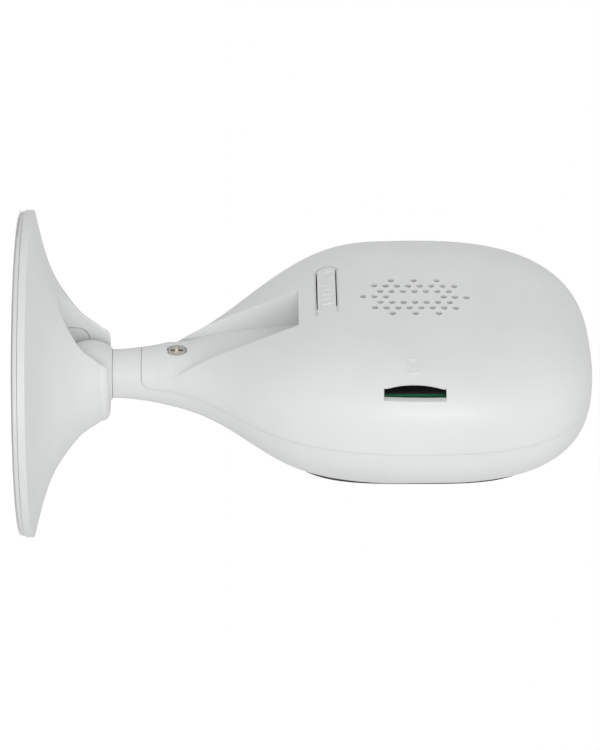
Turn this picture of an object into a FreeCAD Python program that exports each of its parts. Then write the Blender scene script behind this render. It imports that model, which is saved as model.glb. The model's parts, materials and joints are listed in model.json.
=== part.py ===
import FreeCAD, Part
import math
import os

# Baby monitor camera: a round trumpet foot, a ball joint in its hub, and an egg-shaped head on a short
# neck. Millimetres. The origin is the centre of the foot's underside, +Z is up, and the lens looks
# along -Y, so the cable channel, the loudspeaker holes and the reset tab are on the +Y side.

V = FreeCAD.Vector
X = V(1, 0, 0)
Y = V(0, 1, 0)
Z = V(0, 0, 1)

# ---- driving dimensions ----
CLEARANCE = 0.07            # between pieces that turn or slide on each other
PARTING = 0.08              # visible gap between two fitted covers
SEAM_GAP = 0.03             # the close-fitting seam between the head's two shells
WALL = 2.0                  # head shell
SCREW_RADIUS = 0.95         # M2 shank
SCREW_HOLE = 1.0

# foot
FOOT_RADIUS = 33.0
FOOT_COVER_TOP = 1.15       # the separate bottom cover ends here
FOOT_RIM_TOP = 2.7
HUB_TOP = 18.0
HUB_RADIUS = 9.5
HUB_SHOULDER = 1.6
SLOT_EDGE_RADIUS = 0.4
SEAT_RADIUS = 9.2           # ball seat, a cup pushed up into the hub
SEAT_TOP = 13.9
SEAT_CORNER = 2.3
SLOT_HALF_WIDTH = 6.3       # the neck lies down into this slot when the head tilts back

# ball joint
BALL_HEIGHT = 14.1
BALL_RADIUS = 6.8
STEM_RADIUS = 2.9
NECK_START = 18.65          # the neck turns on the ball here
BALL_TOP = NECK_START - PARTING
STEM_TOP = 28.2
STEM_CAVITY_RADIUS = 4.2
STEM_LEDGE = 24.4           # floor of the cavity that the retaining clip turns in
STEM_CAVITY_TOP = 28.9
CLIP_HEIGHT = 26.3

# head
COLLAR_TOP = 24.45          # the rear cover starts above this collar
WIDEST_HEIGHT = 79.5
HEAD_TOP = 114.8
HALF_WIDTH = 31.8
REAR_DEPTH = 18.3
FRONT_DEPTH = 16.6          # of the full oval, before the flat face is cut
CENTRE_SHIFT = 2.0          # the widest line of the head lies this far behind the neck's axis
CAVITY_BOTTOM = 36.0
FACE_DEPTH = 10.9           # flat front face, at Y = -FACE_DEPTH
FACE_WALL = 2.7

# front window
WINDOW_HEIGHT = 79.0
WINDOW_HALF_WIDTH = 22.7
WINDOW_HALF_HEIGHT = 26.5
WINDOW_SQUARENESS = 3.4
WINDOW_PROUD = 0.25
WINDOW_THICKNESS = 1.5
TAPE_THICKNESS = 0.15
WINDOW_FRONT = -FACE_DEPTH - WINDOW_PROUD
WINDOW_BACK = WINDOW_FRONT + WINDOW_THICKNESS
FACE_BACK = -FACE_DEPTH + FACE_WALL

# rear cover
CHANNEL_HALF_WIDTH = 6.35
CHANNEL_END = 55.9
NECK_SCREW_HEIGHT = 31.5
NECK_SCREW_TOP = 5.65
GRILLE_HEIGHT = 79.0
GRILLE_PITCH = 2.29
GRILLE_ROW = 2.0
GRILLE_RADIUS = 0.65
CARD_HEIGHT = 78.2
SLOT_LENGTH = 12.1          # memory card slot
SLOT_LOW = 13.0
SLOT_HIGH = 14.6

# reset tab, a tongue that lies across the rear cover
TAB_HEIGHT = 61.5
TAB_HALF_WIDTH = 1.8
TAB_ROOT = -2.4
TAB_TIP = 12.4
TAB_SLIT = 0.25
TAB_GROOVE = 0.55           # a shallow groove runs round the tongue and on past its root
TAB_GROOVE_END = -4.9
TAB_ROOT_GAP = 0.02

# main board, with its parts on both faces
BOARD_FRONT = 11.4
BOARD_BACK = 12.6
BOARD_HALF_WIDTH = 22.8
BOARD_SCREWS = [(x, z) for x in (-19.5, 19.5) for z in (67.0, 91.5)]
LENS_HEIGHT = WINDOW_HEIGHT
LED_BOARD_BACK = -3.6
LED_BOARD_FRONT = -4.6
LED_CIRCLE = 12.3
SPACER_OFFSET = 12.6


# ---- small helpers ----

def box(x0, x1, y0, y1, z0, z1):
    return Part.makeBox(x1 - x0, y1 - y0, z1 - z0, V(x0, y0, z0))


def rod(radius, start, end):
    """A cylinder from one point to another."""
    return Part.makeCylinder(radius, (end - start).Length, start, end - start)


def upright(radius, circle, angle, low, high):
    """A rod that stands on a circle around the Z axis."""
    return rod(radius, around(circle, angle, low), around(circle, angle, high))


def along_y(radius, x, z, start, end):
    """A rod that runs front to back."""
    return rod(radius, V(x, start, z), V(x, end, z))


def ring(outer, inner, start, end):
    return rod(outer, start, end).cut(rod(inner, start, end))


def polygon(points):
    return Part.makePolygon(points + points[:1])


def prism(points, depth):
    """A flat outline pushed along a vector."""
    return Part.Face(polygon(points)).extrude(depth)


def curve_edge(points):
    curve = Part.BSplineCurve()
    curve.interpolate(points)
    return curve.toShape()


def closed_curve(points):
    """A smooth closed curve through points."""
    curve = Part.BSplineCurve()
    steps = [float(step) for step in range(len(points) + 1)]
    curve.interpolate(Points=points, PeriodicFlag=True, Parameters=steps)
    return Part.Wire(curve.toShape())


def turned(edges):
    """A solid turned about the Z axis from edges that close a half outline."""
    face = Part.Face(Part.Wire(edges))
    return face.revolve(V(0, 0, 0), Z, 360)


def around(radius, angle_deg, height):
    angle = math.radians(angle_deg)
    return V(radius * math.cos(angle), radius * math.sin(angle), height)


def fused(shapes):
    return shapes[0].multiFuse(shapes[1:]).removeSplitter()


def cross_recess(point, direction, length, depth):
    """The cross-shaped driver recess of a screw, sunk into its head at a point."""
    width = length * 0.26
    cross = fused([box(-length / 2, length / 2, -width / 2, width / 2, -depth, 1),
                   box(-width / 2, width / 2, -length / 2, length / 2, -depth, 1)])
    cross.Placement = FreeCAD.Placement(point, FreeCAD.Rotation(Z, direction))
    return cross


def screw(head_top, direction, head_radius, head_height, length):
    """A pan-head screw whose head looks along a direction, and whose shank runs the other way."""
    under_head = head_top - direction * head_height
    head = rod(head_radius, under_head, head_top)
    head = head.makeFillet(head_height * 0.3, [edge for edge in head.Edges
                                               if edge.CenterOfMass.distanceToPoint(head_top) < 0.01])
    shank = rod(SCREW_RADIUS, under_head - direction * length, under_head)
    recess = cross_recess(head_top, direction, head_radius * 1.25, head_height * 0.6)
    return head.fuse(shank).cut(recess)


# ---- the head's form ----

def profile(points):
    """A smooth function of height through (height, value) points, level at both ends."""
    curve = Part.BSplineCurve()
    curve.interpolate(Points=[V(z, value, 0) for z, value in points],
                      Parameters=[z for z, value in points],
                      InitialTangent=X, FinalTangent=X)
    return lambda z: curve.value(z).y


half_width_at = profile([(NECK_START, 4.95), (24, 5.4), (28, 6.1), (36, 10), (48, 21.5),
                         (62, 29.5), (WIDEST_HEIGHT, HALF_WIDTH)])
rear_depth_at = profile([(NECK_START, 4.95), (24, 5.35), (29, 6.1), (36, 8), (48, 12.5),
                         (62, 17.9), (WIDEST_HEIGHT, REAR_DEPTH)])
front_depth_at = profile([(NECK_START, 4.95), (24, 5.3), (29, 6.2), (36, 7.5), (44, 9.6),
                          (54, 14.2), (64, 16.2), (WIDEST_HEIGHT, FRONT_DEPTH)])
centre_at = profile([(NECK_START, 0), (30, 0.2), (48, 1.2), (66, CENTRE_SHIFT),
                     (HEAD_TOP, CENTRE_SHIFT)])
squareness_at = profile([(NECK_START, 2.0), (28, 2.0), (60, 3.1), (HEAD_TOP, 3.1)])
DOME_SQUARENESS = 2.8


def reach(angle, power):
    """How far a superellipse of unit half-axes reaches in a direction."""
    return (abs(math.cos(angle)) ** power + abs(math.sin(angle)) ** power) ** (-1 / power)


def head_outline(z, half_width, rear, front):
    """The head's closed outline at one height: a plain oval in front, squarer behind."""
    steps = 32
    centre = centre_at(z)
    points = []
    for step in range(steps):
        angle = 2 * math.pi * step / steps - math.pi / 2
        behind = angle > 0 and angle < math.pi
        size = reach(angle, squareness_at(z) if behind else 2.0)
        depth = rear if behind else front
        points.append(V(half_width * size * math.cos(angle), centre + depth * size * math.sin(angle), z))
    return closed_curve(points)


def rear_surface(x, z):
    """The point on the head's outer rear surface at one place across and one height."""
    rise = max(0, (z - WIDEST_HEIGHT) / (HEAD_TOP - WIDEST_HEIGHT))
    shrink = (1 - rise ** DOME_SQUARENESS) ** (1 / DOME_SQUARENESS)
    level = min(z, WIDEST_HEIGHT)
    power = squareness_at(z)
    across = abs(x) / (half_width_at(level) * shrink)
    depth = (rear_depth_at(level) - centre_at(z)) * shrink
    return V(x, centre_at(z) + depth * (1 - across ** power) ** (1 / power), z)


def head_form(inset, bottom):
    """The head's outer form, or the form that lies an inset inside it."""
    heights = [NECK_START, 21, 24.2, 28, 32, 36, 40, 44, 48, 52, 56, 61, 67, 73]
    outlines = []
    for z in [z for z in heights if z >= bottom]:
        centre = centre_at(z)
        outlines.append(head_outline(z, half_width_at(z) - inset, rear_depth_at(z) - centre - inset,
                                     front_depth_at(z) + centre - inset))
    dome_height = HEAD_TOP - WIDEST_HEIGHT - inset
    for degrees in [0, 10, 20, 30, 40, 50, 60, 70, 79, 86]:
        angle = math.radians(degrees)
        size = reach(angle, DOME_SQUARENESS)
        shrink = size * math.cos(angle)
        outlines.append(head_outline(WIDEST_HEIGHT + dome_height * size * math.sin(angle),
                                     (HALF_WIDTH - inset) * shrink,
                                     (REAR_DEPTH - CENTRE_SHIFT - inset) * shrink,
                                     (FRONT_DEPTH + CENTRE_SHIFT - inset) * shrink))
    return Part.makeLoft(outlines, True, False)


def beside_the_seam(side, seam_shift, collar_shift):
    """The space behind (+1) or before (-1) the seam between the shells, with the seam moved along Y
    and its square turn above the collar moved along Z."""
    corner = 2.0
    low = COLLAR_TOP + collar_shift
    heights = [low + corner, 32, 40, 48, 57, 66, HEAD_TOP + 5]
    seam = curve_edge([V(0, centre_at(min(z, HEAD_TOP)) + seam_shift, z) for z in heights])
    start = seam.valueAt(seam.FirstParameter)
    end = seam.valueAt(seam.LastParameter)
    lean = corner * (1 - math.sqrt(0.5))
    bend_end = V(0, start.y + corner, low)
    bend = Part.Arc(bend_end, V(0, start.y + lean, low + lean), start).toShape()
    far = 40
    if side > 0:
        corners = [end, V(0, far, end.z), V(0, far, low), bend_end]
    else:
        corners = [end, V(0, -far, end.z), V(0, -far, 0), V(0, far, 0), V(0, far, low), bend_end]
    walls = [Part.makeLine(a, b) for a, b in zip(corners, corners[1:])]
    return Part.Face(Part.Wire([seam] + walls + [bend])).extrude(X * 2 * far).translated(-X * far)


OUTER_FORM = head_form(0, NECK_START)
INNER_FORM = head_form(WALL, CAVITY_BOTTOM)


def stem_space():
    """The bore and cavity in the neck that the ball's stem turns in."""
    bore = rod(STEM_RADIUS + CLEARANCE, Z * (NECK_START - 1), Z * STEM_LEDGE)
    cavity = rod(STEM_CAVITY_RADIUS, Z * STEM_LEDGE, Z * STEM_CAVITY_TOP)
    washer_seat = rod(4.3, Z * (NECK_START - 1), Z * (NECK_START + 0.65))
    return bore.multiFuse([cavity, washer_seat])


def window_block(inset, y_front, y_back):
    """A block with the window's outline drawn in by an inset, from one depth to another."""
    steps = 40
    points = []
    for step in range(steps):
        angle = 2 * math.pi * step / steps
        size = reach(angle, WINDOW_SQUARENESS)
        points.append(V((WINDOW_HALF_WIDTH - inset) * size * math.cos(angle), y_front,
                        WINDOW_HEIGHT + (WINDOW_HALF_HEIGHT - inset) * size * math.sin(angle)))
    return Part.Face(closed_curve(points)).extrude(Y * (y_back - y_front))


# ---- foot ----

def flare(drop, inward):
    """The foot's trumpet curve, from the rim to the hub, moved down and inwards."""
    points = [(FOOT_RADIUS, FOOT_RIM_TOP), (26.3, 4.4), (19.9, 6.8), (15.0, 10.0), (12.0, 12.7),
              (10.4, 15.1), (HUB_RADIUS, HUB_TOP - HUB_SHOULDER)]
    return [V(r - inward, 0, z - drop) for r, z in points]


def foot_block():
    """The foot's outer form, from its rim band to the rounded shoulder of the hub."""
    curve = flare(0, 0)
    shoulder_end = V(HUB_RADIUS - HUB_SHOULDER, 0, HUB_TOP)
    lean = HUB_SHOULDER * (1 - math.sqrt(0.5))
    shoulder = Part.Arc(curve[-1], V(HUB_RADIUS - lean, 0, HUB_TOP - lean), shoulder_end).toShape()
    bottom = V(FOOT_RADIUS, 0, FOOT_COVER_TOP + PARTING)
    block = turned([curve_edge(curve), shoulder,
                    Part.makeLine(shoulder_end, V(0, 0, HUB_TOP)),
                    Part.makeLine(V(0, 0, HUB_TOP), V(0, 0, bottom.z)),
                    Part.makeLine(V(0, 0, bottom.z), bottom),
                    Part.makeLine(bottom, curve[0])])
    return block


def foot_hollow():
    """The space under the trumpet, one wall inside it, up to the hub."""
    curve = flare(1.8, 1.6)[:5]
    top = curve[-1].z
    bottom = V(curve[0].x, 0, 0)
    return turned([curve_edge(curve),
                   Part.makeLine(curve[-1], V(0, 0, top)),
                   Part.makeLine(V(0, 0, top), V(0, 0, 0)),
                   Part.makeLine(V(0, 0, 0), bottom),
                   Part.makeLine(bottom, curve[0])])


def cup(radius, bottom, top, corner):
    """A round plug with a rounded top edge."""
    plug = rod(radius, Z * bottom, Z * top)
    rim = [edge for edge in plug.Edges if abs(edge.CenterOfMass.z - top) < 0.01]
    return plug.makeFillet(corner, rim)


def tilt_slot(radius, start, end):
    """A U-shaped slot through the hub's back, round about the ball's centre line."""
    centre = Z * BALL_HEIGHT
    floor = rod(radius, centre + Y * start, centre + Y * end)
    return floor.fuse(box(-radius, radius, start, end, BALL_HEIGHT, BALL_HEIGHT + 20))


def slot_rim(shell):
    """The curved edges where the slot comes out through the hub's rounded outside."""
    hub_flat_radius = HUB_RADIUS - HUB_SHOULDER
    rim = []
    for edge in shell.Edges:
        ends = [vertex.Point for vertex in edge.Vertexes]
        outside = all(math.hypot(end.x, end.y) > hub_flat_radius for end in ends)
        above_ball = all(end.z > BALL_HEIGHT - 0.01 for end in ends)
        within_slot = max(abs(edge.BoundBox.XMin), abs(edge.BoundBox.XMax)) < SLOT_HALF_WIDTH + 0.01
        straight = edge.Curve.TypeId == "Part::GeomLine"
        if outside and above_ball and within_slot and not straight:
            rim.append(edge)
    return rim


FOOT_SCREW_ANGLES = (30, 150, 270)
FOOT_SCREW_CIRCLE = 20.0
SEAT_SCREW_ANGLES = (0, 180, 270)
SEAT_SCREW_CIRCLE = 11.8
FLANGE_BOTTOM = 3.1
FLANGE_TOP = 5.0
FLANGE_RADIUS = 14.3


def make_base_shell():
    block = foot_block()
    liner = tilt_slot(SLOT_HALF_WIDTH + 1.6, 5, 21)
    bosses = [upright(2.3, FOOT_SCREW_CIRCLE, a, 1.6, 8)
              for a in FOOT_SCREW_ANGLES]
    bosses += [upright(2.4, SEAT_SCREW_CIRCLE, a, FLANGE_TOP + 0.05, 12)
               for a in SEAT_SCREW_ANGLES]
    solid_parts = block.cut(foot_hollow())
    shell = solid_parts.multiFuse([piece.common(block) for piece in [liner] + bosses])
    holes = [upright(SCREW_HOLE, FOOT_SCREW_CIRCLE, a, 0, 5.2)
             for a in FOOT_SCREW_ANGLES]
    holes += [upright(SCREW_HOLE, SEAT_SCREW_CIRCLE, a, 0, 9)
              for a in SEAT_SCREW_ANGLES]
    hub_bore = cup(SEAT_RADIUS + PARTING, 0, SEAT_TOP + PARTING, SEAT_CORNER)
    socket = Part.makeSphere(BALL_RADIUS + CLEARANCE, Z * BALL_HEIGHT)
    shell = shell.cut(holes + [hub_bore, socket, tilt_slot(SLOT_HALF_WIDTH, 0, 40)]).removeSplitter()
    return shell.makeFillet(SLOT_EDGE_RADIUS, slot_rim(shell))


def make_ball_seat():
    seat = cup(SEAT_RADIUS, FLANGE_BOTTOM, SEAT_TOP, SEAT_CORNER)
    seat = seat.fuse(rod(FLANGE_RADIUS, Z * FLANGE_BOTTOM, Z * FLANGE_TOP))
    cuts = [Part.makeSphere(BALL_RADIUS + CLEARANCE, Z * BALL_HEIGHT),
            rod(4.1, Z * 5.5, Z * 9),
            tilt_slot(SLOT_HALF_WIDTH, 0, 12)]
    for angle in SEAT_SCREW_ANGLES:
        cuts.append(upright(SCREW_HOLE, SEAT_SCREW_CIRCLE, angle, 0, 6))
        cuts.append(upright(2.0, SEAT_SCREW_CIRCLE, angle, 0, 4.1))
    return seat.cut(cuts)


def make_friction_pad():
    """A soft plug in the bottom of the cup that presses on the ball."""
    plug = rod(4.0, Z * 5.55, Z * 9)
    return plug.cut(Part.makeSphere(BALL_RADIUS + 0.03, Z * BALL_HEIGHT))


def make_seat_screws():
    return Part.makeCompound([screw(around(SEAT_SCREW_CIRCLE, a, 3.1), -Z, 1.8, 0.95, 4.2)
                              for a in SEAT_SCREW_ANGLES])


WEIGHT_BOTTOM = 1.6
WEIGHT_TOP = 2.9


def make_weight_plate():
    plate = rod(23.4, Z * WEIGHT_BOTTOM, Z * WEIGHT_TOP)
    return plate.cut([upright(2.6, FOOT_SCREW_CIRCLE, a, 0, 5)
                      for a in FOOT_SCREW_ANGLES])


PAD_THICKNESS = 0.8
COVER_BOTTOM = 0.25


def make_bottom_cover():
    plate = rod(FOOT_RADIUS - 0.3, Z * COVER_BOTTOM, Z * FOOT_COVER_TOP)
    lower_rim = [edge for edge in plate.Edges if abs(edge.CenterOfMass.z - COVER_BOTTOM) < 0.01]
    plate = plate.makeFillet(0.4, lower_rim)
    spigot = rod(FOOT_RADIUS - 4.6, Z * 0.9, Z * (FOOT_COVER_TOP + PARTING + 0.2))
    cuts = [ring(29.1, 23.9, Z * 0, Z * PAD_THICKNESS)]
    for angle in FOOT_SCREW_ANGLES:
        cuts.append(upright(SCREW_HOLE, FOOT_SCREW_CIRCLE, angle, 0, 2))
        cuts.append(upright(1.9, FOOT_SCREW_CIRCLE, angle, 0, 1.05))
    return plate.fuse(spigot).cut(cuts)


def make_foot_pad():
    return ring(29.0, 24.0, Z * 0, Z * (PAD_THICKNESS - 0.05))


def make_bottom_screws():
    return Part.makeCompound([screw(around(FOOT_SCREW_CIRCLE, a, 0.3), -Z, 1.75, 0.72, 3.6)
                              for a in FOOT_SCREW_ANGLES])


# ---- ball joint ----

def make_tilt_ball():
    ball = Part.makeSphere(BALL_RADIUS, Z * BALL_HEIGHT)
    ball = ball.common(box(-10, 10, -10, 10, 0, BALL_TOP))
    stem = rod(STEM_RADIUS, Z * BALL_HEIGHT, Z * STEM_TOP)
    tip = [edge for edge in stem.Edges if abs(edge.CenterOfMass.z - STEM_TOP) < 0.01]
    stem = stem.makeChamfer(0.5, tip)
    groove = ring(STEM_RADIUS + 1, STEM_RADIUS - 0.7, Z * CLIP_HEIGHT, Z * (CLIP_HEIGHT + 0.7))
    return ball.fuse(stem).cut(groove)


def make_swivel_washer():
    return ring(4.2, STEM_RADIUS + 0.1, Z * NECK_START, Z * (NECK_START + 0.6))


def make_friction_spring():
    """A cupped spring washer that loads the swivel."""
    low = STEM_LEDGE + 0.05
    washer = Part.makeCone(4.05, 3.5, 0.9, Z * low)
    hollow = Part.makeCone(3.75, 3.2, 0.9, Z * (low - 0.3))
    return washer.cut([hollow, rod(STEM_RADIUS + 0.1, Z * (low - 1), Z * (low + 2))])


def make_thrust_washer():
    return ring(4.0, STEM_RADIUS + 0.1, Z * (STEM_LEDGE + 1.05), Z * (CLIP_HEIGHT - 0.05))


def make_retaining_clip():
    """An open ring that snaps into the stem's groove."""
    clip = ring(3.8, STEM_RADIUS - 0.65, Z * (CLIP_HEIGHT + 0.05), Z * (CLIP_HEIGHT + 0.65))
    return clip.cut(box(-1.6, 1.6, 0, 5, CLIP_HEIGHT - 1, CLIP_HEIGHT + 2))


# ---- head covers ----

MICROPHONE_HEIGHT = 50.0
BOOT_RADIUS = 3.2


def neck_screw_space():
    """The stepped hole that the neck screw goes through, from the back."""
    start = V(0, 12, NECK_SCREW_HEIGHT)
    seat = V(0, NECK_SCREW_TOP - 1.15, NECK_SCREW_HEIGHT)
    head = rod(2.05, seat, start)
    lead = Part.makeCone(2.05, 2.4, 0.35, V(0, NECK_SCREW_TOP, NECK_SCREW_HEIGHT), Y)
    shank = rod(SCREW_HOLE, V(0, -3.6, NECK_SCREW_HEIGHT), start)
    return head.multiFuse([shank, lead])


def make_front_housing():
    face_cut = box(-50, 50, -50, -FACE_DEPTH, 0, 150)
    cavity = INNER_FORM.common(box(-50, 50, FACE_BACK, 50, 0, 150))
    shell = OUTER_FORM.cut(face_cut).cut(cavity).cut(beside_the_seam(1, -SEAM_GAP, -PARTING))
    ledge = WINDOW_BACK + TAPE_THICKNESS
    posts = [along_y(2.3, x, z, ledge + 0.5, BOARD_FRONT) for x, z in BOARD_SCREWS]
    boot_holder = along_y(BOOT_RADIUS + 1.1, 0, MICROPHONE_HEIGHT, -9, -5.4)
    shell = shell.multiFuse(posts + [boot_holder])
    cuts = [window_block(-0.08, -FACE_DEPTH - 1, ledge),
            window_block(2.4, ledge - 1, ledge + 4).cut(Part.makeCompound(
                [along_y(2.9, x, z, ledge, ledge + 6) for x, z in BOARD_SCREWS])),
            along_y(BOOT_RADIUS + 0.05, 0, MICROPHONE_HEIGHT, FACE_BACK, 0),
            along_y(0.5, 0, MICROPHONE_HEIGHT, -20, 0),
            stem_space(), neck_screw_space()]
    cuts += [along_y(SCREW_HOLE, x, z, BOARD_FRONT - 6.5, BOARD_FRONT + 1) for x, z in BOARD_SCREWS]
    return shell.cut(cuts)


# The cable channel's floor at a few heights: its depth, and how far its sides fall below its middle.
# It leaves the round neck flush and becomes flat as it runs up into the head.
CHANNEL_FLOOR = [(26.5, 6.5, 2.9), (31.5, 5.95, 2.7), (36, 5.85, 1.2), (43, 6.4, 0.2),
                 (50, 7.15, 0.05), (CHANNEL_END, 7.8, 0.05)]


def channel_section(z, floor, sag, half_width):
    far = 40
    left = V(-half_width, floor - sag, z)
    right = V(half_width, floor - sag, z)
    corners = [right, V(half_width, far, z), V(-half_width, far, z), left]
    walls = [Part.makeLine(a, b) for a, b in zip(corners, corners[1:])]
    return Part.Wire([Part.Arc(left, V(0, floor, z), right).toShape()] + walls)


def channel(half_width, sink, extra_length):
    """The cable channel as a solid, or the block of walls around it when it is sunk and lengthened."""
    floor = list(CHANNEL_FLOOR)
    if extra_length:
        floor.append((CHANNEL_END + extra_length, 8.0, 0.05))
    sections = [channel_section(z, y - sink, sag, half_width) for z, y, sag in floor]
    return Part.makeLoft(sections, True, False)


def grille_holes():
    """Loudspeaker holes in seven staggered rows, with the middle of the centre row left closed."""
    rows = [(3, [-2, 0, 2]),
            (2, [i - 3.5 for i in range(8)]),
            (1, [i - 3 for i in range(7)]),
            (0, [-4.5, -3.5, -2.5, 2.5, 3.5, 4.5])]
    holes = []
    for row, places in rows:
        for side in {row, -row}:
            for place in places:
                point = rear_surface(side * GRILLE_ROW, GRILLE_HEIGHT + place * GRILLE_PITCH)
                holes.append(rod(GRILLE_RADIUS, point - Y * 8, point + Y * 2))
    return holes


def tab_outline(grow, root):
    """The reset tab's plan: a straight tongue with a round tip, grown by a slit."""
    half = TAB_HALF_WIDTH + grow
    straight_end = TAB_TIP - TAB_HALF_WIDTH
    strip = box(root, straight_end, 10, 30, TAB_HEIGHT - half, TAB_HEIGHT + half)
    return strip.fuse(along_y(half, straight_end, TAB_HEIGHT, 10, 30))


def tab_groove():
    """The shallow groove round the tongue, which carries the slits on past the tongue's root."""
    loop = tab_outline(TAB_GROOVE, TAB_GROOVE_END).cut(tab_outline(0, TAB_GROOVE_END - 1))
    return loop.cut(head_form(0.35, 50))


def card_slot():
    """The slot that a memory card goes in through, with a shallow arched notch for a fingertip."""
    half = SLOT_LENGTH / 2
    slot = box(-34, -22, SLOT_LOW, SLOT_HIGH, CARD_HEIGHT - half, CARD_HEIGHT + half)
    rise = 0.5
    span = half - 0.6
    arch = Part.Arc(V(-34, SLOT_HIGH, CARD_HEIGHT - span), V(-34, SLOT_HIGH + rise, CARD_HEIGHT),
                    V(-34, SLOT_HIGH, CARD_HEIGHT + span)).toShape()
    chord = Part.makeLine(V(-34, SLOT_HIGH, CARD_HEIGHT + span), V(-34, SLOT_HIGH, CARD_HEIGHT - span))
    notch = Part.Face(Part.Wire([arch, chord])).extrude(X * 12)
    return slot.fuse(notch)


def card_mark():
    """A small raised outline of a card with one cut corner and an arrow, beside the slot."""
    middle = V(-22.4, 30, CARD_HEIGHT)
    half_z = 1.25
    half_x = 1.8
    cut = 0.6
    outline = [(-half_x, -half_z), (half_x, -half_z), (half_x, half_z - cut), (half_x - cut, half_z),
               (-half_x, half_z)]
    plate = prism([middle + V(x, 0, z) for x, z in outline], -Y * 20)
    inner = prism([middle + V(x * 0.8, 1, z * 0.68) for x, z in outline], -Y * 22)
    arrow = prism([middle + V(x, 0, z) for x, z in [(-0.7, -0.4), (-0.7, 0.4), (0.4, 0)]], -Y * 20)
    skin = head_form(-0.2, 50).cut(head_form(0.5, 50))
    return plate.cut(inner).fuse(arrow).common(skin)


def make_rear_housing():
    walls = channel(CHANNEL_HALF_WIDTH + 1.8, 1.8, 1.5)
    cavity = INNER_FORM.cut(walls)
    shell = OUTER_FORM.cut(cavity).cut(beside_the_seam(-1, 0, 0))
    pocket = box(-28, -20, BOARD_FRONT - 0.2, SLOT_HIGH + 0.15, CARD_HEIGHT - 7.2, CARD_HEIGHT + 7.2)
    pocket = pocket.common(head_form(0.9, 50))
    socket_mouth = box(-4.1, 4.1, 11.3, 14.7, CHANNEL_END - 1, CHANNEL_END + 4)
    cuts = grille_holes()
    cuts += [channel(CHANNEL_HALF_WIDTH, 0, 0), pocket, card_slot(), socket_mouth,
             tab_outline(TAB_SLIT, TAB_ROOT), tab_groove(), stem_space(), neck_screw_space()]
    return shell.cut(cuts).fuse(card_mark())


def make_reset_tab():
    """The tongue, with a fingertip dimple near its tip and five raised grip ribs."""
    tongue = OUTER_FORM.cut(INNER_FORM).common(tab_outline(0, TAB_ROOT + TAB_ROOT_GAP))
    dimple_radius = 2.6
    dimple_depth = 0.3
    dimple_place = rear_surface(TAB_TIP - 2.6, TAB_HEIGHT)
    dimple = Part.makeSphere(dimple_radius, dimple_place + Y * (dimple_radius - dimple_depth))
    skin = head_form(-0.22, 50).cut(head_form(0.3, 50))
    ribs = []
    for step in range(5):
        x = TAB_ROOT + 0.9 + step * 1.7
        ribs.append(box(x - 0.4, x + 0.4, 14, 30, TAB_HEIGHT - 1, TAB_HEIGHT + 1).common(skin))
    return tongue.cut(dimple).multiFuse(ribs)


def make_front_window():
    return window_block(0, WINDOW_FRONT, WINDOW_BACK)


def make_window_tape():
    """The adhesive ring that holds the window on its ledge."""
    outer = window_block(0.3, WINDOW_BACK, WINDOW_BACK + TAPE_THICKNESS)
    return outer.cut(window_block(2.0, WINDOW_BACK - 1, WINDOW_BACK + 1))


def make_neck_screw():
    return screw(V(0, NECK_SCREW_TOP, NECK_SCREW_HEIGHT), Y, 1.95, 1.1, 7.6)


# ---- electronics ----

def make_main_board():
    outline = [(14.5, 103.5), (BOARD_HALF_WIDTH, 91.5), (BOARD_HALF_WIDTH, 67), (16.5, 57.9),
               (-16.5, 57.9), (-BOARD_HALF_WIDTH, 67), (-BOARD_HALF_WIDTH, 91.5), (-14.5, 103.5)]
    plate = prism([V(x, BOARD_FRONT, z) for x, z in outline], Y * (BOARD_BACK - BOARD_FRONT))
    tongue = box(-26.5, -BOARD_HALF_WIDTH + 1, BOARD_FRONT, BOARD_BACK,
                 CARD_HEIGHT - 6.6, CARD_HEIGHT + 6.6)
    cuts = [along_y(1.1, x, z, 0, 20) for x, z in BOARD_SCREWS]
    cuts.append(box(-3.95, 3.95, 0, 20, 50, 62.4))
    return plate.fuse(tongue).cut(cuts).removeSplitter()


def make_board_screws():
    head = BOARD_BACK + 0.95
    return Part.makeCompound([screw(V(x, head, z), Y, 1.7, 0.9, 6) for x, z in BOARD_SCREWS])


def make_usb_socket():
    """A charging socket sunk into the board's lower edge, its mouth in the channel's end wall."""
    low = CHANNEL_END + 0.3
    middle = 13.0
    body = box(-3.75, 3.75, middle - 1.4, middle + 1.4, low, low + 5.6)
    mouth = box(-3.45, 3.45, middle - 1.1, middle + 1.1, low - 1, low + 4.6)
    tongue = box(-1.9, 1.9, middle + 0.1, middle + 0.7, low + 0.4, low + 5)
    return body.cut(mouth).fuse(tongue)


CARD_SOCKET_FRONT = -25.9
CARD_SOCKET_BACK = -11.2
CARD_SOCKET_HALF_HEIGHT = 6.4
RAIL_TOP = SLOT_HIGH - 0.75


def make_card_socket():
    """The card reader's black tray on the back of the board: a floor, two rails and a stop."""
    low = CARD_HEIGHT - CARD_SOCKET_HALF_HEIGHT
    high = CARD_HEIGHT + CARD_SOCKET_HALF_HEIGHT
    floor = box(CARD_SOCKET_FRONT, CARD_SOCKET_BACK, BOARD_BACK, BOARD_BACK + 0.3, low, high)
    rails = [box(CARD_SOCKET_FRONT, CARD_SOCKET_BACK, BOARD_BACK, RAIL_TOP, z - 0.35, z + 0.35)
             for z in (low + 0.35, high - 0.35)]
    stop = box(CARD_SOCKET_BACK - 0.8, CARD_SOCKET_BACK, BOARD_BACK, RAIL_TOP, low, high)
    return fused([floor, stop] + rails)


def make_card_socket_cover():
    """The reader's thin steel lid."""
    return box(CARD_SOCKET_FRONT + 1.0, CARD_SOCKET_BACK, RAIL_TOP + 0.02, RAIL_TOP + 0.17,
               CARD_HEIGHT - CARD_SOCKET_HALF_HEIGHT, CARD_HEIGHT + CARD_SOCKET_HALF_HEIGHT)


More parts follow.
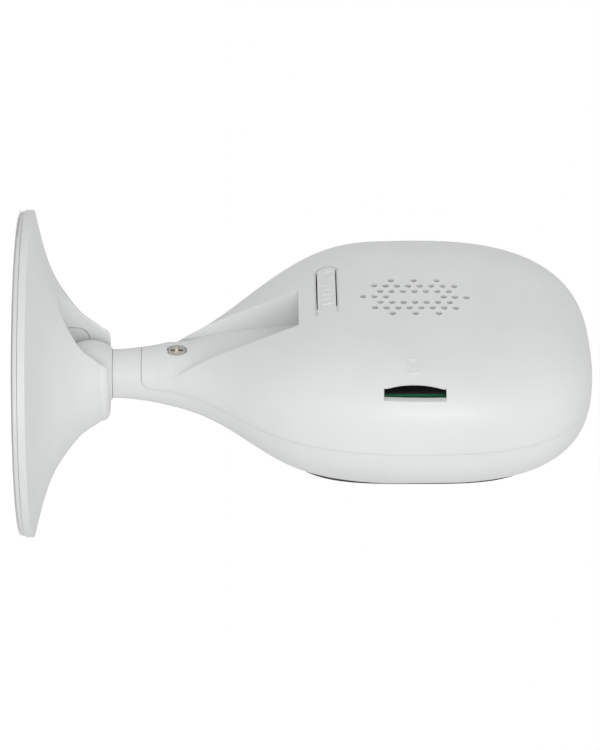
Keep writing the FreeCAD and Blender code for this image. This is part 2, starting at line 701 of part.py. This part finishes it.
def make_reset_switch():
    body = box(7.6, 12.0, BOARD_BACK, BOARD_BACK + 1.4, 59.2, 63.8)
    return body.cut(along_y(1.0, 9.8, TAB_HEIGHT, BOARD_BACK + 0.5, 20))


def make_reset_plunger():
    return along_y(0.93, 9.8, TAB_HEIGHT, BOARD_BACK + 0.9, 14.95)


def make_speaker():
    middle = WIDEST_HEIGHT
    basket = along_y(10, 0, middle, BOARD_BACK + 0.2, 15.5)
    dish = ring(9.2, 4.4, V(0, 14.9, middle), V(0, 16, middle))
    return basket.cut(dish)


def make_speaker_gasket():
    return ring(9.9, 8.3, V(0, 15.55, WIDEST_HEIGHT), V(0, 16.1, WIDEST_HEIGHT))


def make_processor():
    return box(-6.5, 6.5, BOARD_FRONT - 1.2, BOARD_FRONT, 90.5, 102)


def make_radio_can():
    can = box(14.6, 22.3, BOARD_FRONT - 2.2, BOARD_FRONT, 71.5, 86)
    return can.cut(box(14.9, 22.0, BOARD_FRONT - 1.9, BOARD_FRONT + 1, 71.8, 85.7))


def make_power_inductor():
    return box(-16.5, -11, BOARD_FRONT - 2.8, BOARD_FRONT, 59, 64.4)


def make_wifi_antenna():
    return box(-8, 8, FACE_BACK + 0.05, FACE_BACK + 0.55, 102.5, 106.8)


def make_antenna_cable():
    """The thin coaxial lead from the antenna to the radio."""
    points = [V(6, -7.2, 105), V(10, -3, 106.3), V(13.5, 3, 101.5), V(14.6, 8.4, 94), V(14.8, 10.8, 88.3)]
    path = curve_edge(points)
    start = Part.Wire(Part.makeCircle(0.5, points[0], path.tangentAt(path.FirstParameter)))
    return Part.Wire(path).makePipeShell([start], True, True)


# ---- camera module ----

HOLDER_FRONT = -3.0


def make_image_sensor():
    return box(-4.2, 4.2, BOARD_FRONT - 1.0, BOARD_FRONT, LENS_HEIGHT - 4.2, LENS_HEIGHT + 4.2)


def make_lens_holder():
    """A box over the sensor, with a cross slot for the filter slide and a tube for the lens."""
    foot = box(-9.6, 9.6, 4.0, BOARD_FRONT, LENS_HEIGHT - 9, LENS_HEIGHT + 9)
    tube = along_y(8.4, 0, LENS_HEIGHT, 5, HOLDER_FRONT)
    cuts = [box(-6, 6, 8.2, 12, LENS_HEIGHT - 6, LENS_HEIGHT + 6),
            box(-9.0, 9.0, 5.0, 6.8, LENS_HEIGHT - 4.2, LENS_HEIGHT + 4.2),
            along_y(3.0, 0, LENS_HEIGHT, 3, 12),
            along_y(7.0, 0, LENS_HEIGHT, -10, 4.2)]
    return foot.fuse(tube).cut(cuts)


FILTER_PITCH = 5.0          # the slide moves this far to swap one filter for the other
FILTER_RADIUS = 2.1


def make_filter_slide():
    slide = box(-8.6, 3.6, 5.1, 6.7, LENS_HEIGHT - 4.1, LENS_HEIGHT + 4.1)
    windows = [along_y(FILTER_RADIUS, x, LENS_HEIGHT, 0, 10) for x in (0, -FILTER_PITCH)]
    return slide.cut(windows)


def filter_disc(x):
    return along_y(FILTER_RADIUS - 0.03, x, LENS_HEIGHT, 5.5, 6.1)


def make_day_filter():
    return filter_disc(0)


def make_night_filter():
    return filter_disc(-FILTER_PITCH)


def make_filter_coil():
    """The coil beside the lens holder that pulls the filter slide."""
    height = LENS_HEIGHT - 11.8
    return rod(2.7, V(-4, 7.2, height), V(4, 7.2, height))


def make_lens_barrel():
    barrel = along_y(6.93, 0, LENS_HEIGHT, -8.6, 3.4)
    flange = along_y(7.9, 0, LENS_HEIGHT, -8.6, -6.2)
    mouth = Part.makeCone(6.6, 5.2, 1.6, V(0, -8.61, LENS_HEIGHT), Y)
    bore = along_y(4.6, 0, LENS_HEIGHT, -10, 5)
    seat = along_y(5.2, 0, LENS_HEIGHT, -8, -5.0)
    return barrel.fuse(flange).cut([mouth, bore, seat])


def make_front_lens():
    """The domed front element."""
    disc = along_y(5.15, 0, LENS_HEIGHT, -8.4, -5.05)
    return disc.common(Part.makeSphere(8.0, V(0, -0.4, LENS_HEIGHT)))


def make_rear_lens():
    disc = along_y(4.55, 0, LENS_HEIGHT, 0.2, 3.2)
    return disc.common(Part.makeSphere(7.5, V(0, -4.5, LENS_HEIGHT)))


def make_lens_gasket():
    """A soft ring between the lens barrel and the window that keeps stray light out."""
    return ring(7.9, 6.7, V(0, WINDOW_BACK + 0.05, LENS_HEIGHT), V(0, -8.65, LENS_HEIGHT))


LED_ANGLES = [30, 90, 150, 210, 270, 330]


def on_led_circle(angle_deg, y):
    point = around(LED_CIRCLE, angle_deg, 0)
    return V(point.x, y, LENS_HEIGHT + point.y)


def make_led_board():
    board = ring(15.5, 8.6, V(0, LED_BOARD_FRONT, LENS_HEIGHT), V(0, LED_BOARD_BACK, LENS_HEIGHT))
    return board.cut([along_y(1.0, x, LENS_HEIGHT, -6, 0)
                      for x in (-SPACER_OFFSET, SPACER_OFFSET)])


def make_board_spacers():
    """Two posts that stand on the main board and carry the LED board."""
    spacers = []
    for x in (-SPACER_OFFSET, SPACER_OFFSET):
        post = along_y(1.5, x, LENS_HEIGHT, LED_BOARD_BACK, BOARD_FRONT)
        pin = along_y(0.95, x, LENS_HEIGHT, LED_BOARD_FRONT - 0.4, LED_BOARD_BACK + 0.5)
        spacers.append(post.fuse(pin))
    return Part.makeCompound(spacers)


def make_infrared_leds():
    lamps = []
    for angle in LED_ANGLES:
        base = on_led_circle(angle, LED_BOARD_FRONT)
        tip = on_led_circle(angle, LED_BOARD_FRONT - 1.4)
        lamps.append(rod(1.5, base, tip).fuse(Part.makeSphere(1.3, tip)))
    return Part.makeCompound(lamps)


def make_light_sensor():
    return rod(1.3, on_led_circle(60, LED_BOARD_FRONT), on_led_circle(60, LED_BOARD_FRONT - 1.2))


def make_status_light():
    return rod(0.9, on_led_circle(120, LED_BOARD_FRONT), on_led_circle(120, LED_BOARD_FRONT - 0.8))


def make_light_pipe():
    """A clear rod that carries the status light to the window."""
    return rod(1.1, on_led_circle(120, LED_BOARD_FRONT - 0.85), on_led_circle(120, WINDOW_BACK + 0.05))


def make_microphone_boot():
    y = FACE_BACK
    boot = along_y(BOOT_RADIUS, 0, MICROPHONE_HEIGHT, y, y + 4.6)
    pocket = along_y(2.3, 0, MICROPHONE_HEIGHT, y + 1.2, y + 5)
    port = along_y(0.5, 0, MICROPHONE_HEIGHT, y - 1, y + 2)
    return boot.cut([pocket, port])


def make_microphone():
    y = FACE_BACK + 1.25
    return along_y(2.25, 0, MICROPHONE_HEIGHT, y, y + 2.6)


PIECES = {
    "base_shell": make_base_shell,
    "ball_seat": make_ball_seat,
    "friction_pad": make_friction_pad,
    "seat_screws": make_seat_screws,
    "weight_plate": make_weight_plate,
    "bottom_cover": make_bottom_cover,
    "foot_pad": make_foot_pad,
    "bottom_screws": make_bottom_screws,
    "tilt_ball": make_tilt_ball,
    "swivel_washer": make_swivel_washer,
    "friction_spring": make_friction_spring,
    "thrust_washer": make_thrust_washer,
    "retaining_clip": make_retaining_clip,
    "front_housing": make_front_housing,
    "rear_housing": make_rear_housing,
    "reset_tab": make_reset_tab,
    "front_window": make_front_window,
    "window_tape": make_window_tape,
    "neck_screw": make_neck_screw,
    "main_board": make_main_board,
    "board_screws": make_board_screws,
    "usb_socket": make_usb_socket,
    "card_socket": make_card_socket,
    "card_socket_cover": make_card_socket_cover,
    "reset_switch": make_reset_switch,
    "reset_plunger": make_reset_plunger,
    "speaker": make_speaker,
    "speaker_gasket": make_speaker_gasket,
    "processor": make_processor,
    "radio_can": make_radio_can,
    "power_inductor": make_power_inductor,
    "wifi_antenna": make_wifi_antenna,
    "antenna_cable": make_antenna_cable,
    "image_sensor": make_image_sensor,
    "lens_holder": make_lens_holder,
    "filter_slide": make_filter_slide,
    "day_filter": make_day_filter,
    "night_filter": make_night_filter,
    "filter_coil": make_filter_coil,
    "lens_barrel": make_lens_barrel,
    "front_lens": make_front_lens,
    "rear_lens": make_rear_lens,
    "lens_gasket": make_lens_gasket,
    "led_board": make_led_board,
    "board_spacers": make_board_spacers,
    "infrared_leds": make_infrared_leds,
    "light_sensor": make_light_sensor,
    "status_light": make_status_light,
    "light_pipe": make_light_pipe,
    "microphone_boot": make_microphone_boot,
    "microphone": make_microphone,
}

os.makedirs("parts", exist_ok=True)
for name, make in PIECES.items():
    shape = make()
    shape.exportStep(os.path.join("parts", name + ".step"))
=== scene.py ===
import json
import math

import bpy
from mathutils import Matrix, Vector


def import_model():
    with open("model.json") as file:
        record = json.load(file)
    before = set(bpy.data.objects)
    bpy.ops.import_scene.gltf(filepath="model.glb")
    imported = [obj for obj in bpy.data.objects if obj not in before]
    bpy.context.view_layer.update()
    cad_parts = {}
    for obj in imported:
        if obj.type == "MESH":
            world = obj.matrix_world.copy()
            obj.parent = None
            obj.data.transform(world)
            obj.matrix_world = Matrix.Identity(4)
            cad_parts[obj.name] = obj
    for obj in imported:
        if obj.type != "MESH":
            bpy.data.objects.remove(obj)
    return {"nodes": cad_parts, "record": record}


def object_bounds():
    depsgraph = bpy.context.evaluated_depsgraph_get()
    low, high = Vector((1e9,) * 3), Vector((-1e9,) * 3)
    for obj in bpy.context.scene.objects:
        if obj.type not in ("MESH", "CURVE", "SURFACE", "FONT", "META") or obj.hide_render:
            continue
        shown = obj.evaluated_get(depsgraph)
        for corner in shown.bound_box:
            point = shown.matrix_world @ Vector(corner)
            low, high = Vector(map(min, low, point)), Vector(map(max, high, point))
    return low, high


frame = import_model()
cad_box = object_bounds()

MM = 0.001


# ---- node helpers ----

def new_material(name):
    """A node material that holds one principled shader, with its tree and that shader."""
    material = bpy.data.materials.new(name)
    material.use_nodes = True
    tree = material.node_tree
    tree.nodes.clear()
    output = tree.nodes.new("ShaderNodeOutputMaterial")
    shader = tree.nodes.new("ShaderNodeBsdfPrincipled")
    tree.links.new(shader.outputs["BSDF"], output.inputs["Surface"])
    return material, tree, shader


def coordinates(tree):
    """Object coordinates in metres, so a texture's scale is in cycles per metre."""
    return tree.nodes.new("ShaderNodeTexCoord").outputs["Object"]


def noise(tree, size, detail=3.0, stretch=(1, 1, 1)):
    """Smooth noise whose lumps are about a given size in metres, stretched along the axes."""
    mapping = tree.nodes.new("ShaderNodeMapping")
    mapping.inputs["Scale"].default_value = stretch
    texture = tree.nodes.new("ShaderNodeTexNoise")
    texture.inputs["Scale"].default_value = 1 / size
    texture.inputs["Detail"].default_value = detail
    tree.links.new(coordinates(tree), mapping.inputs["Vector"])
    tree.links.new(mapping.outputs["Vector"], texture.inputs["Vector"])
    return texture.outputs["Fac"]


NOISE_LOW = 0.3         # nearly all of a noise texture lies between these two
NOISE_HIGH = 0.7


def spread(tree, value, low, high):
    """Maps a noise texture to the whole of a range."""
    node = tree.nodes.new("ShaderNodeMapRange")
    node.inputs["From Min"].default_value = NOISE_LOW
    node.inputs["From Max"].default_value = NOISE_HIGH
    node.inputs["To Min"].default_value = low
    node.inputs["To Max"].default_value = high
    tree.links.new(value, node.inputs["Value"])
    return node.outputs["Result"]


def two_tone(tree, value, first, second):
    """Mixes two colours by a value."""
    node = tree.nodes.new("ShaderNodeMix")
    node.data_type = "RGBA"
    tree.links.new(value, node.inputs["Factor"])
    node.inputs[6].default_value = (*first, 1)
    node.inputs[7].default_value = (*second, 1)
    return node.outputs[2]


def bump(tree, shader, height, depth):
    """Adds fine relief of a depth in metres, on top of any relief that is there already."""
    node = tree.nodes.new("ShaderNodeBump")
    node.inputs["Strength"].default_value = 1.0
    node.inputs["Distance"].default_value = depth
    tree.links.new(height, node.inputs["Height"])
    earlier = shader.inputs["Normal"].links
    if earlier:
        tree.links.new(earlier[0].from_socket, node.inputs["Normal"])
    tree.links.new(node.outputs["Normal"], shader.inputs["Normal"])


# ---- materials ----

WHITE = (0.83, 0.84, 0.84)
WHITE_SHADE = (0.80, 0.81, 0.815)
JOINT_WHITE = (0.80, 0.81, 0.81)
JOINT_SHADE = (0.76, 0.77, 0.77)
LENS_HEIGHT = 79.0 * MM
PORTHOLE_RADIUS = 7.2 * MM
PORTHOLE_EDGE = 0.1 * MM        # over which the black fades out
GRAIN_SIZE = 0.2 * MM
GRAIN_DEPTH = 0.0015 * MM
GLOSS_SPREAD = 0.04


def moulded_plastic(name, colour, shade, roughness, glow=0.0):
    """Plastic with a slightly cloudy colour, uneven gloss, a fine satin grain and soft flow waves."""
    material, tree, shader = new_material(name)
    cloud = noise(tree, 14 * MM, detail=2)
    tree.links.new(two_tone(tree, spread(tree, cloud, 0, 1), colour, shade),
                   shader.inputs["Base Color"])
    gloss = noise(tree, 3 * MM, detail=4)
    uneven = spread(tree, gloss, roughness - GLOSS_SPREAD, roughness + GLOSS_SPREAD)
    tree.links.new(uneven, shader.inputs["Roughness"])
    bump(tree, shader, noise(tree, GRAIN_SIZE, detail=2), GRAIN_DEPTH)
    bump(tree, shader, noise(tree, 9 * MM, detail=1), 0.004 * MM)
    shader.inputs["IOR"].default_value = 1.5
    if glow:
        shader.inputs["Subsurface Weight"].default_value = glow
        shader.inputs["Subsurface Radius"].default_value = (1.0, 0.95, 0.9)
        shader.inputs["Subsurface Scale"].default_value = 1.0 * MM
    return material


def rubber(name, colour):
    """Dull rubber, foam or tape with a fine, slightly rough surface."""
    material, tree, shader = new_material(name)
    shade = tuple(c * 0.8 for c in colour)
    tree.links.new(two_tone(tree, spread(tree, noise(tree, 4 * MM), 0, 1), colour, shade),
                   shader.inputs["Base Color"])
    tree.links.new(spread(tree, noise(tree, 1 * MM), 0.7, 0.85), shader.inputs["Roughness"])
    bump(tree, shader, noise(tree, 0.3 * MM, detail=4), 0.03 * MM)
    return material


def metal(name, colour, roughness, stretch=(1, 1, 1)):
    """Plated or rolled metal with fine drawn lines and dulled patches."""
    material, tree, shader = new_material(name)
    shade = tuple(c * 0.82 for c in colour)
    tree.links.new(two_tone(tree, spread(tree, noise(tree, 1.5 * MM), 0, 1), colour, shade),
                   shader.inputs["Base Color"])
    shader.inputs["Metallic"].default_value = 1.0
    lines = noise(tree, 0.4 * MM, detail=3, stretch=stretch)
    tree.links.new(spread(tree, lines, roughness * 0.7, roughness * 1.3), shader.inputs["Roughness"])
    bump(tree, shader, lines, 0.004 * MM)
    return material


def black_window(lens_centre):
    """A polished panel, black all round a clear porthole in front of the lens."""
    material, tree, shader = new_material("black_window")
    flatten = tree.nodes.new("ShaderNodeVectorMath")
    flatten.operation = "MULTIPLY"
    flatten.inputs[1].default_value = (1, 0, 1)
    tree.links.new(coordinates(tree), flatten.inputs[0])
    distance = tree.nodes.new("ShaderNodeVectorMath")
    distance.operation = "DISTANCE"
    distance.inputs[1].default_value = (lens_centre.x, 0, lens_centre.z)
    tree.links.new(flatten.outputs["Vector"], distance.inputs[0])
    clear = tree.nodes.new("ShaderNodeMapRange")
    clear.inputs["From Min"].default_value = PORTHOLE_RADIUS
    clear.inputs["From Max"].default_value = PORTHOLE_RADIUS - PORTHOLE_EDGE
    tree.links.new(distance.outputs["Value"], clear.inputs["Value"])
    tree.links.new(clear.outputs["Result"], shader.inputs["Transmission Weight"])
    tree.links.new(two_tone(tree, clear.outputs["Result"], (0.008, 0.008, 0.010), (0.86, 0.86, 0.88)),
                   shader.inputs["Base Color"])
    hairlines = noise(tree, 0.6 * MM, detail=5, stretch=(0.05, 1, 1))
    tree.links.new(spread(tree, hairlines, 0.03, 0.08), shader.inputs["Roughness"])
    bump(tree, shader, noise(tree, 6 * MM, detail=1), 0.004 * MM)
    shader.inputs["Coat Weight"].default_value = 0.5
    return material


def circuit_board():
    """Green solder mask with blocks of two shades and raised, lighter lines between them."""
    material, tree, shader = new_material("circuit_board")
    brick = tree.nodes.new("ShaderNodeTexBrick")
    brick.inputs["Scale"].default_value = 1 / (2.4 * MM)
    brick.inputs["Color1"].default_value = (0.010, 0.115, 0.045, 1)
    brick.inputs["Color2"].default_value = (0.014, 0.155, 0.060, 1)
    brick.inputs["Mortar"].default_value = (0.030, 0.230, 0.100, 1)
    brick.inputs["Mortar Size"].default_value = 0.03
    tree.links.new(coordinates(tree), brick.inputs["Vector"])
    tree.links.new(brick.outputs["Color"], shader.inputs["Base Color"])
    tree.links.new(spread(tree, noise(tree, 2 * MM), 0.25, 0.4), shader.inputs["Roughness"])
    bump(tree, shader, brick.outputs["Fac"], 0.02 * MM)
    return material


def glass(name, colour, roughness):
    """Clear or tinted glass with faint ripples and a trace of haze."""
    material, tree, shader = new_material(name)
    shader.inputs["Base Color"].default_value = (*colour, 1)
    shader.inputs["Transmission Weight"].default_value = 1.0
    shader.inputs["IOR"].default_value = 1.52
    tree.links.new(spread(tree, noise(tree, 2 * MM), roughness, roughness + 0.03),
                   shader.inputs["Roughness"])
    bump(tree, shader, noise(tree, 5 * MM, detail=1), 0.001 * MM)
    return material


def paint(material, slots):
    """Gives a material to every CAD node that has one of these material slots in the record."""
    for entry in frame["record"]["subparts"]:
        if entry["material_slot"] in slots:
            data = frame["nodes"][entry["node"]].data
            data.materials.clear()
            data.materials.append(material)


paint(moulded_plastic("white_shell", WHITE, WHITE_SHADE, 0.42, glow=0.15),
      ["white_shell", "white_cover"])
paint(moulded_plastic("white_joint", JOINT_WHITE, JOINT_SHADE, 0.35, glow=0.1),
      ["white_joint", "nylon"])
paint(rubber("soft_rubber", (0.03, 0.03, 0.03)), ["soft_rubber", "soft_foam", "tape", "cable_black"])
paint(rubber("foot_rubber", (0.42, 0.43, 0.43)), ["foot_rubber"])
paint(metal("nickel", (0.62, 0.59, 0.55), 0.28), ["nickel_screw"])
paint(metal("zinc", (0.60, 0.60, 0.58), 0.35), ["zinc_steel", "plain_steel"])
paint(metal("blued_steel", (0.20, 0.20, 0.22), 0.35), ["spring_steel"])
paint(metal("tinned", (0.68, 0.68, 0.66), 0.25), ["tinned_steel"])
paint(metal("copper", (0.70, 0.33, 0.18), 0.3, stretch=(8, 1, 1)), ["copper_coil"])
paint(metal("brass", (0.72, 0.55, 0.26), 0.25), ["brass_spacer"])
window = frame["nodes"]["front_window"]
lens_centre = window.matrix_world.inverted() @ Vector((0, 0, LENS_HEIGHT))
paint(black_window(lens_centre), ["black_window"])
paint(circuit_board(), ["circuit_board"])
paint(moulded_plastic("black_plastic", (0.018, 0.018, 0.018), (0.026, 0.026, 0.026), 0.5),
      ["black_plastic", "chip_black"])
paint(glass("filter_glass", (0.55, 0.85, 0.86), 0.02), ["filter_glass"])
paint(glass("clear_glass", (0.95, 0.97, 0.96), 0.02), ["clear_glass", "clear_lamp"])
paint(glass("lens_glass", (0.80, 0.74, 0.92), 0.01), ["lens_glass"])
paint(glass("sensor_glass", (0.10, 0.12, 0.14), 0.05), ["sensor_glass"])


# ---- smooth shading ----

for node in frame["nodes"].values():
    node.data.polygons.foreach_set("use_smooth", [True] * len(node.data.polygons))


# ---- stage, light and camera ----

lowest, highest = cad_box
MIDDLE = (lowest + highest) / 2

VIEW_ANGLE = math.radians(56)       # how far round from the back the camera stands
TO_CAMERA = Vector((-math.sin(VIEW_ANGLE), math.cos(VIEW_ANGLE), 0))
UP_IN_PICTURE = Vector((math.cos(VIEW_ANGLE), math.sin(VIEW_ANGLE), 0))
ALONG_PICTURE = Vector((0, 0, 1))
CAMERA_DISTANCE = 0.75
CAMERA_DROP = math.radians(0.8)     # how far the camera stands towards the foot
AIM = ALONG_PICTURE * 56.3 * MM - UP_IN_PICTURE * 0.3 * MM      # the middle of the picture
SEEN_LENGTH = 151.36 * MM           # what the longer side of the picture takes in
SENSOR_WIDTH = 36.0
FLOOR_SIZE = 6.0
FLOOR_LIFT = 0.42


def seen_by_camera(tree):
    """1 where the camera looks straight at a surface, 0 for light that comes by way of another."""
    return tree.nodes.new("ShaderNodeLightPath").outputs["Is Camera Ray"]


def floor():
    """A wide pale floor under the foot, lifted to the backdrop's white where the camera sees it."""
    mesh = bpy.data.meshes.new("floor")
    quarters = [(-1, -1), (1, -1), (1, 1), (-1, 1)]
    corners = [(FLOOR_SIZE * x, FLOOR_SIZE * y, lowest.z) for x, y in quarters]
    mesh.from_pydata(corners, [], [(0, 1, 2, 3)])
    plane = bpy.data.objects.new("floor", mesh)
    bpy.context.scene.collection.objects.link(plane)
    material, tree, shader = new_material("floor")
    cloud = noise(tree, 400 * MM)
    tree.links.new(two_tone(tree, cloud, (0.92, 0.92, 0.92), (0.95, 0.95, 0.95)),
                   shader.inputs["Base Color"])
    shader.inputs["Roughness"].default_value = 0.9
    shader.inputs["Emission Color"].default_value = (1, 1, 1, 1)
    lift = tree.nodes.new("ShaderNodeMath")
    lift.operation = "MULTIPLY"
    lift.inputs[1].default_value = FLOOR_LIFT
    tree.links.new(seen_by_camera(tree), lift.inputs[0])
    tree.links.new(lift.outputs[0], shader.inputs["Emission Strength"])
    mesh.materials.append(material)


def world(ambient):
    """Even light from all sides, with a backdrop that the camera sees as white."""
    light = bpy.data.worlds.new("studio")
    light.use_nodes = True
    tree = light.node_tree
    background = tree.nodes["Background"]
    background.inputs["Color"].default_value = (1, 1, 1, 1)
    strength = tree.nodes.new("ShaderNodeMapRange")
    strength.inputs["To Min"].default_value = ambient
    strength.inputs["To Max"].default_value = 1.0
    tree.links.new(seen_by_camera(tree), strength.inputs["Value"])
    tree.links.new(strength.outputs["Result"], background.inputs["Strength"])
    bpy.context.scene.world = light


def area_light(name, direction, distance, size, power):
    """A square soft light that looks at the middle of the object from a direction."""
    data = bpy.data.lights.new(name, "AREA")
    data.size = size
    data.energy = power
    lamp = bpy.data.objects.new(name, data)
    lamp.location = MIDDLE + direction.normalized() * distance
    lamp.rotation_mode = "QUATERNION"
    lamp.rotation_quaternion = direction.to_track_quat("Z", "Y")
    bpy.context.scene.collection.objects.link(lamp)


def camera():
    """A camera behind the object and to one side, turned so that the object lies along the picture."""
    data = bpy.data.cameras.new("camera")
    data.sensor_width = SENSOR_WIDTH
    data.lens = SENSOR_WIDTH * CAMERA_DISTANCE / SEEN_LENGTH
    data.clip_start = 0.01
    data.clip_end = 20
    body = bpy.data.objects.new("camera", data)
    away = TO_CAMERA * math.cos(CAMERA_DROP) - ALONG_PICTURE * math.sin(CAMERA_DROP)
    right = UP_IN_PICTURE.cross(away)
    axes = Matrix((right, UP_IN_PICTURE, away)).transposed().to_4x4()
    body.matrix_world = Matrix.Translation(AIM + away * CAMERA_DISTANCE) @ axes
    bpy.context.scene.collection.objects.link(body)
    bpy.context.scene.camera = body


floor()
world(ambient=0.68)
area_light("key", Vector((-0.92, 0.38, 0)), distance=0.9, size=0.5, power=3.7)
camera()
bpy.context.scene.view_settings.view_transform = "Standard"
